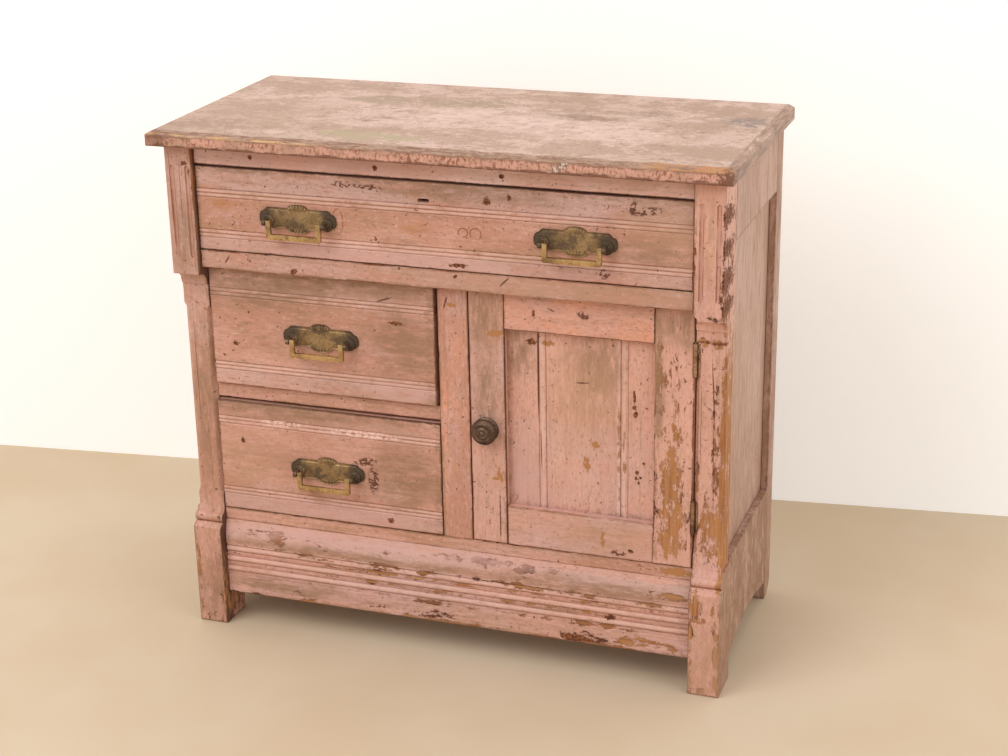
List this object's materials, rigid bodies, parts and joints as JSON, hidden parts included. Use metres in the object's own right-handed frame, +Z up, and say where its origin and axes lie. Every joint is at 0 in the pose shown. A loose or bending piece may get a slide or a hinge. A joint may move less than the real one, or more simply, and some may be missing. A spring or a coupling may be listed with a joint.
{
  "type": "washstand",
  "caption": "Painted wooden washstand on four post feet: a wide drawer above narrower drawers and a panelled door with a turned knob and bail pulls.",
  "frame": {"origin": "centre of the footprint of the top board, on the floor", "axes": "+X towards the door side, -Y towards the front with drawers and door, +Z up"},
  "size_m": [0.78, 0.3656, 0.722],
  "materials": {
    "pink_paint": "worn salmon-pink paint, chipped to bare brown wood",
    "side_paint": "thin beige wash over old paint, streaked",
    "top_paint": "worn pale pink paint with brown streaks",
    "inner_wood": "unpainted softwood, dull",
    "aged_brass": "cast, darkened with age",
    "hinge_metal": "dark, worn bright on the high spots",
    "knob_metal": "dark turned metal"
  },
  "bodies": {
    "carcass": {"top_board": "top_paint", "front_post_left": "pink_paint", "front_post_right": "pink_paint", "rear_post_left": "side_paint", "rear_post_right": "side_paint", "side_panel_left": "side_paint", "side_panel_right": "side_paint", "side_top_rail_left": "side_paint", "side_top_rail_right": "side_paint", "side_bottom_rail_left": "side_paint", "side_bottom_rail_right": "side_paint", "top_rail": "pink_paint", "upper_drawer_rail": "pink_paint", "middle_drawer_rail": "pink_paint", "base_rail": "pink_paint", "centre_stile": "pink_paint", "plinth_board": "pink_paint", "bottom_board": "inner_wood", "back_panel": "inner_wood", "partition": "inner_wood", "drawer_1_runner_left": "inner_wood", "drawer_1_runner_right": "inner_wood", "drawer_2_runner_left": "inner_wood", "drawer_2_runner_right": "inner_wood", "drawer_3_runner_left": "inner_wood", "drawer_3_runner_right": "inner_wood", "upper_hinge_post_leaf": "hinge_metal", "lower_hinge_post_leaf": "hinge_metal"},
    "drawer_1": {"drawer_1_front": "pink_paint", "drawer_1_side_left": "inner_wood", "drawer_1_side_right": "inner_wood", "drawer_1_bottom": "inner_wood", "drawer_1_back": "inner_wood", "pull_1_plate": "aged_brass", "pull_2_plate": "aged_brass"},
    "drawer_2": {"drawer_2_front": "pink_paint", "drawer_2_side_left": "inner_wood", "drawer_2_side_right": "inner_wood", "drawer_2_bottom": "inner_wood", "drawer_2_back": "inner_wood", "pull_3_plate": "aged_brass"},
    "drawer_3": {"drawer_3_front": "pink_paint", "drawer_3_side_left": "inner_wood", "drawer_3_side_right": "inner_wood", "drawer_3_bottom": "inner_wood", "drawer_3_back": "inner_wood", "pull_4_plate": "aged_brass"},
    "bail_1": {"pull_1_bail": "aged_brass"},
    "bail_2": {"pull_2_bail": "aged_brass"},
    "bail_3": {"pull_3_bail": "aged_brass"},
    "bail_4": {"pull_4_bail": "aged_brass"},
    "door": {"door_stile_left": "pink_paint", "door_stile_right": "pink_paint", "door_top_rail": "pink_paint", "door_bottom_rail": "pink_paint", "door_panel": "pink_paint", "upper_hinge_door_leaf": "hinge_metal", "lower_hinge_door_leaf": "hinge_metal"},
    "knob": {"door_knob": "knob_metal"}
  },
  "joints": [
    {"name": "drawer_1_slide", "type": "slide", "parent": "carcass", "child": "drawer_1", "axis": [0, -1, 0], "range_m": [0, 0.25]},
    {"name": "drawer_2_slide", "type": "slide", "parent": "carcass", "child": "drawer_2", "axis": [0, -1, 0], "range_m": [0, 0.25]},
    {"name": "drawer_3_slide", "type": "slide", "parent": "carcass", "child": "drawer_3", "axis": [0, -1, 0], "range_m": [0, 0.25]},
    {"name": "door_hinge", "type": "hinge", "parent": "carcass", "child": "door", "pos_m": [0.33635, -0.13577, 0.1765], "axis": [0, 0, 1], "range_deg": [0, 90]},
    {"name": "knob_turn", "type": "hinge", "parent": "door", "child": "knob", "pos_m": [0.0572, -0.1364, 0.3385], "axis": [0, 1, 0], "range_deg": [0, 90]},
    {"name": "bail_1_swing", "type": "hinge", "parent": "drawer_1", "child": "bail_1", "pos_m": [-0.1907, -0.1696, 0.60693], "axis": [-1, 0, 0], "range_deg": [-30, 90]},
    {"name": "bail_2_swing", "type": "hinge", "parent": "drawer_1", "child": "bail_2", "pos_m": [0.1859, -0.1696, 0.60693], "axis": [-1, 0, 0], "range_deg": [-30, 90]},
    {"name": "bail_3_swing", "type": "hinge", "parent": "drawer_2", "child": "bail_3", "pos_m": [-0.1745, -0.1532, 0.43926], "axis": [-1, 0, 0], "range_deg": [-30, 90]},
    {"name": "bail_4_swing", "type": "hinge", "parent": "drawer_3", "child": "bail_4", "pos_m": [-0.1745, -0.1532, 0.24721], "axis": [-1, 0, 0], "range_deg": [-30, 90]}
  ]
}
